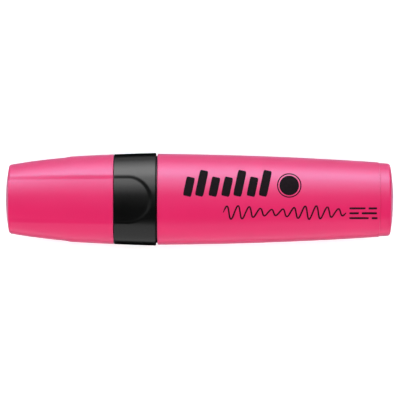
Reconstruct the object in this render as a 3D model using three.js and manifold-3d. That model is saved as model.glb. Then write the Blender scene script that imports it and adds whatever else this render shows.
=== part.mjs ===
// A flat-bodied highlighter, capped, lying on one of its two broad faces.
//
// Millimetres. The pen's own axis runs along +X from the closed end of the cap to the tail, +Y is
// across the pen and +Z is up through its thickness. The exported group's origin is on the surface
// that the pen lies on, under the middle of its box. Inside the pen group, x is counted from the
// closed end of the cap and z from the pen's axis.

import * as THREE from "three";
import { mergeVertices } from "three/addons/utils/BufferGeometryUtils.js";
import Module from "manifold-3d";

const wasm = await Module();
wasm.setup();

// ---- Driving dimensions -------------------------------------------------------------------

const LENGTH = 120;
const THICKNESS = 17.5;

// Where things are along the pen, from the closed end of the cap.
const LEDGE = 19.2; // a slight ledge on the cap's narrow sides
const RING_START = 33.55; // the coloured shell meets the black ring
const MOUTH = 46.55; // the cap's open rim
const BARREL_FRONT = 47.0;
const CROWN_END = 78; // from here to the tail the broad faces fall away
const TAIL_SEAM = 115.5; // the barrel meets its end plug

// Half-widths of the outline at the start, the middle and the end of each stretch.
const CAP_TIP_HALF_WIDTHS = [10.48, 11.97, 12.99];
const CAP_REAR_HALF_WIDTHS = [13.26, 13.92, 14.38];
const BARREL_HALF_WIDTHS = [14.13, 13.4, 11.6];
const PLUG_HALF_WIDTHS = [11.42, 11.3, 11.14];
// Half-thicknesses of the cap, and how much thinner the tail is than the crown, on each face.
const CAP_HALF_THICKNESSES = [6.5, 8.25, THICKNESS / 2];
const TAIL_DROP = 1.55;
const PLUG_STEP = 0.15;

// The section of the body is a superellipse; 2 would be an ellipse.
const ROUNDNESS = 2.3;
const CIRCLE = 2;
const BODY_FLAT = 0.2; // share of the half-width that is flat on the crown of each broad face
const ROUND_FLAT = 0.09; // the same, where the section is a plain round one
const QUARTER_SIDES = 8; // facets in each quarter of a section

const END_SAG = 0.95; // how far the middle of a domed end stands out past its edge
const END_CORNER = 0.9;
const TAIL_SAG = 0.9;
const TAIL_CORNER = 0.9;
const EDGE_BREAK = 0.25; // small chamfer on moulded edges

const CAP_WALL = 1.5;
const CAP_END_WALL = 2.2;
const BARREL_WALL = 1.45;
const WEB = { y: 9, thickness: 0.8 }; // two webs across the inside of the cap shell
const RIB = { front: 58, rear: 103, thickness: 1, y: 5 }; // ribs along the inside of the barrel
const OVERLAP = 0.1; // how far a rib or web is sunk into the wall that it stands on
const BEYOND = 15; // further from the axis than any part of the pen
const FIT = 0.15; // clearance of a pressed-in piece, on each side
const HAIRLINE = 0.05; // half the gap at a closed seam

// The thumb recess on both broad faces of the cap: it starts at the closed end, and its round
// end lies in the ring.
const RECESS_DEPTH = 0.25;
const RECESS_HALF_WIDTHS = [6.6, 6.9];
const RECESS_ROUND_CENTRE = 38.0;

const SPIGOT_LENGTH = 4.4; // the part of the ring that is pressed into the shell
const SPIGOT_WALL = 1.1;
const BORE_AT_MOUTH = { a: 12.85, b: 7.2 };
const BORE_INSIDE = { a: 12.5, b: 6.95 };
const BEAD_X = 42.0; // the neck's snap bead, and the groove that it sits in
const BEAD_HEIGHT = 0.2;
const GROOVE_DEPTH = 0.3;

const NECK = { front: 38.2, a: 12.5, b: 6.85 };
const FLANGE = { a: 13.5, b: 8.0, thickness: 0.3 };
const SECTION_REAR = 56.0; // the section is pressed this far into the barrel
const RESERVOIR_SEAT = 41.0; // the wall that the reservoir's front end meets
const SEAL_RADIUS = 5.5;
const SEAL_ENDS = [23.0, 30.0];
const SEAL_RING = { x: 26.0, half: 0.6, height: 0.08 };
const NOZZLE_TIP = { x: 18.6, a: 3.9, b: 3.0 };
const VENT = { width: 1.2, height: 0.8 };
const SEAT = { front: 15, rear: 36 }; // the cut for the nib runs out at both ends of its wall

const NIB = { tip: 13.0, rear: 46.2, width: 5.0, height: 3.4, corner: 0.8 };
const CHISEL_RISE = 3.2; // how far the slanted edge runs back across the nib's width
const CHISEL_BEVEL = 4.0; // length of the wedge that thins the nib towards its edge
const CHISEL_EDGE = 1.5; // thickness left at the edge

const CUP_MOUTH = 28.7;
const CUP_BORE = 5.65;
const CUP_FLANGE = { thickness: 1.3, gap: 0.2 };
const CUP_END = { outside: 6.4, inside: 7.4 };

const RESERVOIR = { front: 41.5, rear: 104.0, a: 10.0, b: 5.2 };
const FILM = { gap: 0.12, thickness: 0.28 };
const PLUG_SPIGOT_FRONT = 104.4;
const PLUG_WALL = 1.2;

const PINK = { color: "#e72a62", roughness: 0.42, metalness: 0 };
const BLACK = { color: "#171717", roughness: 0.35, metalness: 0 };
const NATURAL = { color: "#e9ebe6", roughness: 0.5, metalness: 0 };
const INKED_FIBRE = { color: "#e0245c", roughness: 0.95, metalness: 0 };
const CLEAR_FILM = { color: "#f2c9d6", roughness: 0.2, metalness: 0 };

// ---- Outline of the pen -------------------------------------------------------------------

// A bowed line through three values: at the start, half-way along, and at the end.
function bowed(x, start, end, [first, middle, last]) {
  const t = (x - start) / (end - start);
  return first * (1 - t) * (1 - 2 * t) + 4 * middle * t * (1 - t) + last * t * (2 * t - 1);
}

function halfWidth(x) {
  if (x <= LEDGE) return bowed(x, 0, LEDGE, CAP_TIP_HALF_WIDTHS);
  if (x <= MOUTH) return bowed(x, LEDGE, MOUTH, CAP_REAR_HALF_WIDTHS);
  if (x <= TAIL_SEAM) return bowed(x, BARREL_FRONT, TAIL_SEAM, BARREL_HALF_WIDTHS);
  return bowed(x, TAIL_SEAM, LENGTH, PLUG_HALF_WIDTHS);
}

function halfThickness(x) {
  if (x <= MOUTH) return bowed(x, 0, MOUTH, CAP_HALF_THICKNESSES);
  const fall = Math.max(0, (x - CROWN_END) / (TAIL_SEAM - CROWN_END));
  return THICKNESS / 2 - TAIL_DROP * fall * fall - (x > TAIL_SEAM ? PLUG_STEP : 0);
}

// One station of a body: the outline's half-width a and half-thickness b at x, taken in by inset.
function skin(x, inset = 0) {
  return { x, a: halfWidth(x) - inset, b: halfThickness(x) - inset };
}

function round(x, radius) {
  return { x, a: radius, b: radius, roundness: CIRCLE, flat: ROUND_FLAT };
}

// The points of one section, counter-clockwise seen from the tail. The crown of each broad face
// is one flat facet.
function sectionPoints({ a, b, roundness = ROUNDNESS, flat = BODY_FLAT }) {
  const power = 2 / roundness;
  const crown = Math.acos(flat ** (1 / power));
  const quarter = [];
  for (let k = 0; k <= QUARTER_SIDES; k++) {
    const angle = (crown * k) / QUARTER_SIDES;
    quarter.push([a * Math.cos(angle) ** power, b * (Math.sin(angle) / Math.sin(crown)) ** power]);
  }
  const back = quarter.slice(1).reverse();
  return [
    ...quarter,
    ...back.map(([y, z]) => [-y, z]),
    ...quarter.map(([y, z]) => [-y, -z]),
    ...back.map(([y, z]) => [y, -z]),
  ];
}

// ---- Solids -------------------------------------------------------------------------------

// A lathe whose sections are superellipses. The profile either starts and ends on the axis, where
// a and b are 0, or closes on itself.
function ovalLathe(profile) {
  const positions = [];
  const rings = profile.map((station) => {
    const first = positions.length / 3;
    const points = station.a === 0 ? [[0, 0]] : sectionPoints(station);
    points.forEach(([y, z]) => positions.push(station.x, y, z));
    return { first, count: points.length };
  });
  if (profile[0].a !== 0) rings.push(rings[0]);
  const triangles = [];
  for (let i = 1; i < rings.length; i++) {
    const [near, far] = [rings[i - 1], rings[i]];
    const sides = Math.max(near.count, far.count);
    for (let j = 0; j < sides; j++) {
      const n0 = near.first + (j % near.count);
      const n1 = near.first + ((j + 1) % near.count);
      const f0 = far.first + (j % far.count);
      const f1 = far.first + ((j + 1) % far.count);
      if (n0 !== n1) triangles.push(n0, n1, f0);
      if (f0 !== f1) triangles.push(n1, f1, f0);
    }
  }
  const geometry = new THREE.BufferGeometry();
  geometry.setAttribute("position", new THREE.Float32BufferAttribute(positions, 3));
  geometry.setIndex(triangles);
  return geometry;
}

function toSolid(geometry) {
  const bare = geometry.clone();
  bare.deleteAttribute("normal");
  bare.deleteAttribute("uv");
  const merged = mergeVertices(bare, 1e-4);
  return new wasm.Manifold(
    new wasm.Mesh({
      numProp: 3,
      vertProperties: merged.getAttribute("position").array,
      triVerts: new Uint32Array(merged.index.array),
    }),
  );
}

function toGeometry(solid) {
  const { vertProperties, triVerts } = solid.getMesh();
  const geometry = new THREE.BufferGeometry();
  geometry.setAttribute("position", new THREE.BufferAttribute(vertProperties, 3));
  geometry.setIndex(new THREE.BufferAttribute(triVerts, 1));
  geometry.computeVertexNormals();
  return geometry;
}

function join([first, ...others]) {
  return others.reduce((whole, solid) => whole.add(solid), first);
}

// A solid lathe with flat ends.
function core(stations) {
  const start = { x: stations[0].x, a: 0, b: 0 };
  const end = { x: stations.at(-1).x, a: 0, b: 0 };
  return toSolid(ovalLathe([start, ...stations, end]));
}

function box(x0, x1, y0, y1, z0, z1) {
  const geometry = new THREE.BoxGeometry(x1 - x0, y1 - y0, z1 - z0);
  geometry.translate((x0 + x1) / 2, (y0 + y1) / 2, (z0 + z1) / 2);
  return toSolid(geometry);
}

// A bar along X with a rounded rectangular section, centred on the axis.
function roundedBar(x0, x1, width, height, corner) {
  const [w, h] = [width / 2, height / 2];
  const shape = new THREE.Shape();
  shape.absarc(w - corner, -h + corner, corner, -Math.PI / 2, 0);
  shape.absarc(w - corner, h - corner, corner, 0, Math.PI / 2);
  shape.absarc(-w + corner, h - corner, corner, Math.PI / 2, Math.PI);
  shape.absarc(-w + corner, -h + corner, corner, Math.PI, 1.5 * Math.PI);
  const geometry = new THREE.ExtrudeGeometry(shape, {
    depth: x1 - x0,
    bevelEnabled: false,
    curveSegments: 3,
  });
  // The shape's x and y become the pen's y and z, and the extrusion runs along the pen's x.
  const turn = new THREE.Matrix4().makeBasis(
    new THREE.Vector3(0, 1, 0),
    new THREE.Vector3(0, 0, 1),
    new THREE.Vector3(1, 0, 0),
  );
  geometry.applyMatrix4(turn).translate(x0, 0, 0);
  return toSolid(geometry);
}

// The stations of a domed end, from its middle to where its rounded corner meets the side.
function domedEnd(tip, inward, sag, corner) {
  const edge = skin(tip + inward * (sag + corner));
  const stations = [{ x: tip, a: 0, b: 0 }];
  for (const share of [0.35, 0.7]) {
    stations.push({
      x: tip + inward * sag * share ** 2,
      a: (edge.a - corner) * share,
      b: (edge.b - corner) * share,
    });
  }
  for (const turn of [0, Math.PI / 6, Math.PI / 3, Math.PI / 2]) {
    const inset = corner * (1 - Math.sin(turn));
    stations.push({
      x: tip + inward * (sag + corner * (1 - Math.cos(turn))),
      a: edge.a - inset,
      b: edge.b - inset,
    });
  }
  return stations;
}

// ---- The cap ------------------------------------------------------------------------------

// What is cut away for the recess: everything within its outline that lies above or below a core
// as thick as the recess leaves the cap. The core runs out past the closed end, so that the recess
// opens through the end's rounded edge.
function recessCutter() {
  const [tipHalf, ringHalf] = RECESS_HALF_WIDTHS;
  const outline = new THREE.Shape();
  outline.moveTo(-1, -tipHalf);
  outline.lineTo(RECESS_ROUND_CENTRE, -ringHalf);
  outline.absarc(RECESS_ROUND_CENTRE, 0, ringHalf, -Math.PI / 2, Math.PI / 2);
  outline.lineTo(-1, tipHalf);
  const prism = new THREE.ExtrudeGeometry(outline, {
    depth: 2 * THICKNESS,
    bevelEnabled: false,
    curveSegments: 14,
  });
  prism.translate(0, 0, -THICKNESS);
  const floor = [2, 5, 10, 15, 21, 27, 34, 40, MOUTH].map((x) => skin(x, RECESS_DEPTH));
  const front = { ...floor[0], x: -2 };
  const rear = { ...floor.at(-1), x: MOUTH + 1 };
  return toSolid(prism).subtract(core([front, ...floor, rear]));
}

function capShell() {
  const rim = RING_START - HAIRLINE;
  const shell = toSolid(
    ovalLathe([
      ...domedEnd(0, 1, END_SAG, END_CORNER),
      ...[5, 9, 13, LEDGE - 1.3, LEDGE + 1.3, 24, 29].map((x) => skin(x)),
      skin(rim - EDGE_BREAK),
      skin(rim, EDGE_BREAK),
      ...[rim, 29, 24, 18, 12, 7].map((x) => skin(x, CAP_WALL)),
      skin(3.6, CAP_WALL + 0.4),
      skin(CAP_END_WALL + 0.3, CAP_WALL + 2),
      { x: CAP_END_WALL, a: 0, b: 0 },
    ]),
  );
  // The webs stop the inner cap's flange and stiffen the broad faces.
  const webEnd = CUP_MOUTH - CUP_FLANGE.thickness - 2 * FIT;
  const inside = core([3.6, 7, 12, 18, 24, 29].map((x) => skin(x, CAP_WALL - OVERLAP)));
  const webs = [-WEB.y, WEB.y].map((y) => {
    const half = WEB.thickness / 2;
    return box(CAP_END_WALL, webEnd, y - half, y + half, -BEYOND, BEYOND).intersect(inside);
  });
  return toGeometry(join([shell, ...webs]).subtract(recessCutter()));
}

function capRing() {
  const shoulder = RING_START + HAIRLINE;
  const spigotEnd = RING_START - SPIGOT_LENGTH;
  const spigotSkin = (x, inset) => skin(x, CAP_WALL + FIT + inset);
  // The bore narrows a little from the mouth inwards, so that the ring draws off its mould.
  const bore = (x, out = 0) => {
    const t = (x - RING_START) / (MOUTH - RING_START);
    const mix = (inside, mouth) => inside + (mouth - inside) * t + out;
    return { x, a: mix(BORE_INSIDE.a, BORE_AT_MOUTH.a), b: mix(BORE_INSIDE.b, BORE_AT_MOUTH.b) };
  };
  const profile = [
    skin(shoulder, EDGE_BREAK / 2),
    skin(shoulder + EDGE_BREAK / 2),
    ...[37, 41, 44].map((x) => skin(x)),
    skin(MOUTH - EDGE_BREAK),
    skin(MOUTH, EDGE_BREAK),
    bore(MOUTH, EDGE_BREAK),
    bore(MOUTH - 0.8),
    bore(BEAD_X + 1),
    bore(BEAD_X + 0.4, GROOVE_DEPTH),
    bore(BEAD_X - 0.4, GROOVE_DEPTH),
    bore(BEAD_X - 1),
    bore(RING_START + 2.6),
    spigotSkin(RING_START, SPIGOT_WALL),
    spigotSkin(spigotEnd, SPIGOT_WALL),
    spigotSkin(spigotEnd, EDGE_BREAK),
    spigotSkin(spigotEnd + EDGE_BREAK, 0),
    spigotSkin(shoulder, 0),
  ];
  return toGeometry(toSolid(ovalLathe(profile)).subtract(recessCutter()));
}

// The cup that seals round the nozzle, hung in the shell by an oval flange.
function innerCap() {
  const flangeBack = CUP_MOUTH - CUP_FLANGE.thickness;
  const flange = (x) => skin(x, CAP_WALL + CUP_FLANGE.gap);
  return ovalLathe([
    { x: CUP_END.outside, a: 0, b: 0 },
    round(CUP_END.outside, 4.3),
    round(CUP_END.outside + 0.7, 4.95),
    round(10, 5.5),
    round(19, 6.3),
    round(flangeBack, 6.55),
    flange(flangeBack),
    flange(CUP_MOUTH),
    round(CUP_MOUTH, CUP_BORE + 0.3),
    round(CUP_MOUTH - 0.6, CUP_BORE),
    round(22, CUP_BORE),
    round(20.5, 5.4),
    round(CUP_END.inside + 0.8, 4.35),
    round(CUP_END.inside, 3.7),
    { x: CUP_END.inside, a: 0, b: 0 },
  ]);
}

// ---- The marker ---------------------------------------------------------------------------

function barrel() {
  const tail = TAIL_SEAM - HAIRLINE;
  const outside = [50, 60, 69, CROWN_END, 86, 94, 102, 109];
  const shell = toSolid(
    ovalLathe([
      skin(BARREL_FRONT, EDGE_BREAK),
      skin(BARREL_FRONT + EDGE_BREAK),
      ...outside.map((x) => skin(x)),
      skin(tail - EDGE_BREAK),
      skin(tail, EDGE_BREAK),
      skin(tail, BARREL_WALL),
      ...outside.slice(1).reverse().map((x) => skin(x, BARREL_WALL)),
      skin(BARREL_FRONT, BARREL_WALL),
    ]),
  );
  // Six ribs hold the reservoir clear of the wall and leave the air a way past it.
  const spare = FILM.gap + FILM.thickness + 2 * FIT;
  const around = { a: RESERVOIR.a + spare, b: RESERVOIR.b + spare };
  const reservoirRoom = core([
    { x: RIB.front - 1, ...around },
    { x: RIB.rear + 1, ...around },
  ]);
  const ribStations = [RIB.front, CROWN_END, 86, 94, RIB.rear];
  const inside = core(ribStations.map((x) => skin(x, BARREL_WALL - OVERLAP)));
  const half = RIB.thickness / 2;
  const bars = [-1, 1].map((side) => {
    const [inner, outer] = [0, side * BEYOND].sort((p, q) => p - q);
    return box(RIB.front, RIB.rear, inner, outer, -half, half);
  });
  for (const y of [-RIB.y, RIB.y]) {
    bars.push(box(RIB.front, RIB.rear, y - half, y + half, -BEYOND, BEYOND));
  }
  const ribs = bars.map((bar) => bar.intersect(inside).subtract(reservoirRoom));
  return toGeometry(join([shell, ...ribs]));
}

function endPlug() {
  const head = TAIL_SEAM + HAIRLINE;
  const inBarrel = (x, inset) => {
    const t = Math.min(x, TAIL_SEAM);
    return { ...skin(t, BARREL_WALL + FIT + inset), x };
  };
  const headStart = skin(head);
  const dome = domedEnd(LENGTH, -1, TAIL_SAG, TAIL_CORNER).reverse();
  return ovalLathe([
    { x: head + 1.6, a: 0, b: 0 },
    inBarrel(head + 1.6, PLUG_WALL + 1.2),
    inBarrel(head, PLUG_WALL + 0.1),
    inBarrel(PLUG_SPIGOT_FRONT, PLUG_WALL),
    inBarrel(PLUG_SPIGOT_FRONT, EDGE_BREAK),
    inBarrel(PLUG_SPIGOT_FRONT + EDGE_BREAK, 0),
    inBarrel(109, 0),
    inBarrel(head, 0),
    { ...headStart, a: headStart.a - EDGE_BREAK, b: headStart.b - EDGE_BREAK },
    skin(head + EDGE_BREAK),
    ...dome,
  ]);
}

// The black piece that is pressed into the barrel: neck, cone, seal land and nozzle.
function frontSection() {
  const neck = (x, out = 0) => {
    const draft = 0.02 * (BARREL_FRONT - x);
    return { x, a: NECK.a - draft + out, b: NECK.b - draft + out };
  };
  const flangeFront = BARREL_FRONT - FIT / 2 - FLANGE.thickness;
  const flangeBack = BARREL_FRONT - FIT / 2;
  const inBarrel = (x, inset = 0) => skin(x, BARREL_WALL + FIT + inset);
  const pocket = { a: 10.85, b: 5.95 };
  const profile = [
    { x: NOZZLE_TIP.x, a: 0, b: 0 },
    { ...NOZZLE_TIP, a: NOZZLE_TIP.a - 0.4, b: NOZZLE_TIP.b - 0.4, roundness: CIRCLE },
    { ...NOZZLE_TIP, x: NOZZLE_TIP.x + 0.5, roundness: CIRCLE },
    round(SEAL_ENDS[0] - 0.5, SEAL_RADIUS - 0.5),
    round(SEAL_ENDS[0], SEAL_RADIUS),
    round(SEAL_RING.x - SEAL_RING.half, SEAL_RADIUS),
    round(SEAL_RING.x, SEAL_RADIUS + SEAL_RING.height),
    round(SEAL_RING.x + SEAL_RING.half, SEAL_RADIUS),
    round(SEAL_ENDS[1], SEAL_RADIUS),
    { x: 33.5, a: 7.6, b: 5.55 },
    { x: 36, a: 9.8, b: 5.75 },
    { x: NECK.front, a: 11.6, b: 6.05 },
    neck(NECK.front + 0.6),
    neck(BEAD_X - 0.5),
    neck(BEAD_X, BEAD_HEIGHT),
    neck(BEAD_X + 0.5),
    neck(flangeFront),
    { x: flangeFront, a: FLANGE.a, b: FLANGE.b },
    { x: flangeBack, a: FLANGE.a, b: FLANGE.b },
    inBarrel(flangeBack),
    inBarrel(SECTION_REAR - 0.6),
    inBarrel(SECTION_REAR, 0.4),
    { x: SECTION_REAR, ...pocket },
    { x: RESERVOIR_SEAT, ...pocket },
    { x: RESERVOIR_SEAT, a: 6.4, b: 4.2 },
    { x: 34, a: 4.4, b: 3.4 },
    { x: 34, a: 0, b: 0 },
  ];
  const gap = 2 * FIT;
  const { front, rear } = SEAT;
  const nibSeat = roundedBar(front, rear, NIB.width + gap, NIB.height + gap, NIB.corner);
  const ventTop = NIB.height / 2 + VENT.height;
  const vent = box(front, rear, -VENT.width / 2, VENT.width / 2, 0, ventTop);
  return toGeometry(toSolid(ovalLathe(profile)).subtract(nibSeat).subtract(vent));
}

// A felt nib with a slanted chisel edge: its front is cut back across the width, and both faces
// are bevelled towards the edge.
function nib() {
  const spare = 1; // how far the cutters and the uncut bar reach past the finished nib
  const bar = roundedBar(NIB.tip - spare, NIB.rear, NIB.width, NIB.height, NIB.corner);
  const [w, h] = [NIB.width / 2, NIB.height / 2];
  const slantRun = (y) => NIB.tip + ((y + w) / NIB.width) * CHISEL_RISE;
  const slant = new THREE.Shape();
  slant.moveTo(NIB.tip - 2 * spare, -w - spare);
  slant.lineTo(slantRun(-w - spare), -w - spare);
  slant.lineTo(slantRun(w + spare), w + spare);
  slant.lineTo(NIB.tip - 2 * spare, w + spare);
  const slantCut = new THREE.ExtrudeGeometry(slant, {
    depth: NIB.height + 2 * spare,
    bevelEnabled: false,
  });
  slantCut.translate(0, 0, -h - spare);
  let solid = bar.subtract(toSolid(slantCut));
  const slope = Math.atan2(h - CHISEL_EDGE / 2, CHISEL_BEVEL);
  for (const side of [-1, 1]) {
    // A slab whose face nearest the axis climbs from the edge's thickness to the full height.
    const slab = new THREE.BoxGeometry(4 * CHISEL_BEVEL, NIB.width + 2 * spare, 2 * NIB.height);
    slab.translate(0, 0, NIB.height);
    slab.rotateY(-slope);
    slab.translate(NIB.tip + CHISEL_RISE / 2, 0, CHISEL_EDGE / 2);
    const cutter = toSolid(slab);
    solid = solid.subtract(side > 0 ? cutter : cutter.rotate([180, 0, 0]));
  }
  return toGeometry(solid);
}

// The fibre bundle that holds the ink, with a socket for the back of the nib.
function inkReservoir() {
  const { front, rear, a, b } = RESERVOIR;
  const bundle = ovalLathe([
    { x: front, a: 0, b: 0 },
    { x: front, a: a - 0.3, b: b - 0.3 },
    { x: front + 0.4, a, b },
    { x: rear - 0.4, a, b },
    { x: rear, a: a - 0.3, b: b - 0.3 },
    { x: rear, a: 0, b: 0 },
  ]);
  const gap = 2 * FIT;
  const socket = roundedBar(front - 1, NIB.rear + FIT, NIB.width + gap, NIB.height + gap, NIB.corner);
  return toGeometry(toSolid(bundle).subtract(socket));
}

function reservoirFilm() {
  const { front, rear, a, b } = RESERVOIR;
  const inner = FILM.gap;
  const outer = FILM.gap + FILM.thickness;
  return ovalLathe([
    { x: front + 0.2, a: a + outer, b: b + outer },
    { x: rear - 0.2, a: a + outer, b: b + outer },
    { x: rear - 0.2, a: a + inner, b: b + inner },
    { x: front + 0.2, a: a + inner, b: b + inner },
  ]);
}

// ---- The scene graph ----------------------------------------------------------------------

function piece(name, geometry, finish) {
  const mesh = new THREE.Mesh(geometry, new THREE.MeshStandardMaterial(finish));
  mesh.name = name;
  return mesh;
}

const cap = new THREE.Group();
cap.add(
  piece("cap_shell", capShell(), PINK),
  piece("cap_ring", capRing(), BLACK),
  piece("inner_cap", innerCap(), NATURAL),
);

const marker = new THREE.Group();
marker.add(
  piece("barrel", barrel(), PINK),
  piece("end_plug", endPlug(), PINK),
  piece("front_section", frontSection(), BLACK),
  piece("nib", nib(), INKED_FIBRE),
  piece("ink_reservoir", inkReservoir(), INKED_FIBRE),
  piece("reservoir_film", reservoirFilm(), CLEAR_FILM),
);

const highlighter = new THREE.Group();
const pen = new THREE.Group();
pen.position.set(-LENGTH / 2, 0, THICKNESS / 2);
pen.add(cap, marker);
highlighter.add(pen);

export default highlighter;
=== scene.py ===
"""A flat oval highlighter with its cap on, lying on one of its broad faces."""

from math import acos, atan2, cos, exp, hypot, pi, radians, sin, tan
from typing import NamedTuple

import bmesh
import bpy
from bpy.props import FloatProperty, FloatVectorProperty, PointerProperty
from bpy.types import NodeSocket, Operator, Panel, PropertyGroup
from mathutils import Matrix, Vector


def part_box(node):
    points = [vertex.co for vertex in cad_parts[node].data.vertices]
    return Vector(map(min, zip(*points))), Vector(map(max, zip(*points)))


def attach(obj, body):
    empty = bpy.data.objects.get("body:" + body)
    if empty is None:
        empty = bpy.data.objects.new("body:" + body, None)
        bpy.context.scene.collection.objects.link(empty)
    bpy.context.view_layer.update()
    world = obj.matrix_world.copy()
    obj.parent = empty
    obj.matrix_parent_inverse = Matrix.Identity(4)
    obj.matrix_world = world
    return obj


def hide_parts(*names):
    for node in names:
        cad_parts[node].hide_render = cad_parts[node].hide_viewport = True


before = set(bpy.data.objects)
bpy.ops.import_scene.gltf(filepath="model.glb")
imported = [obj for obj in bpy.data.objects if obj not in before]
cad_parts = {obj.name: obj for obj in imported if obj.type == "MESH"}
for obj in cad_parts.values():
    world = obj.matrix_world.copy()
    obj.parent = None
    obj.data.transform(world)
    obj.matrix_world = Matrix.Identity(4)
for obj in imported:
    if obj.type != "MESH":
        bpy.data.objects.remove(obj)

bl_info = {
    "name": "Flat Highlighter",
    "version": (1, 0, 0),
    "blender": (4, 5, 0),
    "location": "View3D > Sidebar > Highlighter",
    "description": "Builds a flat oval highlighter, its finishes and its studio",
    "category": "Object",
}

MM = 0.001

# The pen is worked out in millimetres: x from the closed end of the cap, y across the pen and z
# from the pen's axis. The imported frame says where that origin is.
CAP_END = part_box("cap_shell")[0].x
AXIS_HEIGHT = (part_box("barrel")[0].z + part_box("barrel")[1].z) / 2


def along(node, side):
    """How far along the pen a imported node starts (side 0) or ends (side 1), in millimetres."""
    return (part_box(node)[side].x - CAP_END) / MM


LENGTH = along("end_plug", 1)
THICKNESS = 2 * AXIS_HEIGHT / MM
SHELL_RIM = along("cap_shell", 1)
MOUTH = along("cap_ring", 1)
BARREL_FRONT = along("barrel", 0)
BARREL_REAR = along("barrel", 1)
SECTION_FRONT = along("front_section", 0)
SECTION_REAR = along("front_section", 1)
CUP_FRONT = along("inner_cap", 0)
CUP_MOUTH = along("inner_cap", 1)
SPIGOT_FRONT = along("cap_ring", 0)
PLUG_FRONT = along("end_plug", 0)
NIB_TIP = along("nib", 0)
NIB_REAR = along("nib", 1)
RESERVOIR_FRONT = along("ink_reservoir", 0)
RESERVOIR_REAR = along("ink_reservoir", 1)

HAIRLINE = 0.05  # half the gap at a closed seam
TAIL_GAP = 0.02  # the end plug is pressed home, so its seam is tighter
FIT = 0.15  # clearance of a pressed-in piece, on each side
RING_START = SHELL_RIM + 2 * HAIRLINE
TAIL_SEAM = BARREL_REAR + HAIRLINE

# Half-widths at the start, middle and end of each stretch of the outline.
LEDGE = 19.2
CROWN_END = 78.0
CAP_TIP_HALF_WIDTHS = (10.48, 11.97, 12.99)
CAP_REAR_HALF_WIDTHS = (13.26, 13.92, 14.38)
BARREL_HALF_WIDTHS = (14.13, 13.4, 11.6)
PLUG_HALF_WIDTHS = (11.42, 11.3, 11.14)
CAP_HALF_THICKNESSES = (6.5, 8.25, THICKNESS / 2)
TAIL_DROP = 1.55
PLUG_STEP = 0.15

BODY_POWER = 2.3  # of the body's superelliptic section
CIRCLE = 2.0
BAR_POWER = 5.0  # of a bar with rounded corners, such as the nib

CAP_WALL = 1.5
CAP_END_WALL = 2.2
BARREL_WALL = 1.45
END_SAG = 0.95
END_CORNER = 0.9
TAIL_SAG = 0.9
TAIL_CORNER = 0.9
GATE_RADIUS = 1.0  # the mark that the mould's gate leaves in the middle of an end
RECESS_HALF_WIDTHS = (6.6, 6.9)
RECESS_ROUND_CENTRE = 38.0
BEAD_X = 42.0
BEAD_HEIGHT = 0.2
GROOVE_DEPTH = 0.3
BORE_HALVES = ((12.5, 6.95), (12.85, 7.2))  # of the ring's bore, inside and at the mouth
NECK_FRONT = 38.2
NECK_HALVES = (12.5, 6.85)
CUP_FLANGE = 1.3  # thickness of the inner cap's flange
SEAL_RADIUS = 5.5
NIB_HALF_WIDTH = 2.5
NIB_HALF_HEIGHT = 1.7
RESERVOIR_HALVES = (10.0, 5.2)
SUNK = 0.1  # how far a rib or web is sunk into the wall that it stands on


def linear(hex_colour):
    """An sRGB hex value, such as #e72a62, as linear red, green and blue."""
    shares = [int(hex_colour[i : i + 2], 16) / 255 for i in (1, 3, 5)]
    return tuple(s / 12.92 if s <= 0.04045 else ((s + 0.055) / 1.055) ** 2.4 for s in shares)


# ---- Sizes and colours that a user would change --------------------------------------------


def millimetres(name, description, default, low, high):
    return FloatProperty(name=name, description=description, default=default, min=low, max=high)


def colour(name, description, hex_colour):
    return FloatVectorProperty(
        name=name, description=description, default=linear(hex_colour), subtype="COLOR",
        min=0.0, max=1.0,
    )


def strength(name, description, default):
    return FloatProperty(name=name, description=description, default=default, min=0.0)


class HighlighterSizes(PropertyGroup):
    recess_depth: millimetres("Recess Depth (mm)", "How deep the thumb recess is", 0.25, 0.0, 0.8)
    shell_recess_edge: millimetres(
        "Shell Recess Edge (mm)", "Width of the recess's soft edge in the shell", 1.8, 0.2, 2.0
    )
    ring_recess_edge: millimetres(
        "Ring Recess Edge (mm)", "Width of the recess's soft edge in the ring", 1.5, 0.2, 2.0
    )
    rim_radius: millimetres("Rim Radius (mm)", "Rounding of the moulded rims", 0.28, 0.05, 0.5)
    parting_height: millimetres(
        "Parting Line (mm)", "Height of the mould's parting line", 0.025, 0.0, 0.1
    )
    print_height: millimetres(
        "Print Height (mm)", "How far the printed ink stands proud", 0.01, 0.005, 0.05
    )


class HighlighterColours(PropertyGroup):
    pink: colour("Pink", "The pigmented plastic of the cap, barrel and plug", "#e82160")
    black: colour("Black", "The collar and the nib holder", "#070707")
    natural: colour("Natural", "The unpigmented liner of the cap", "#e6e7e0")
    ink: colour("Ink", "The fluorescent ink in the fibres", "#ec1f63")
    print_ink: colour("Print", "The pad printing on the barrel", "#140d11")
    paper: colour("Paper", "The surface that the pen lies on", "#f4f4f4")


class HighlighterStudio(PropertyGroup):
    tent: strength("Tent", "Brightness of the white tent round the pen", 1.0)
    bank: strength("Bank", "Brightness of the bank of softboxes over the pen", 1.0)


# ---- The pen's outline ---------------------------------------------------------------------


def bowed(x, start, end, values):
    """A bowed line through three values: at start, half-way along and at end."""
    first, middle, last = values
    t = (x - start) / (end - start)
    return first * (1 - t) * (1 - 2 * t) + 4 * middle * t * (1 - t) + last * t * (2 * t - 1)


def smooth(t):
    t = min(1.0, max(0.0, t))
    return t * t * (3 - 2 * t)


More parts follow.
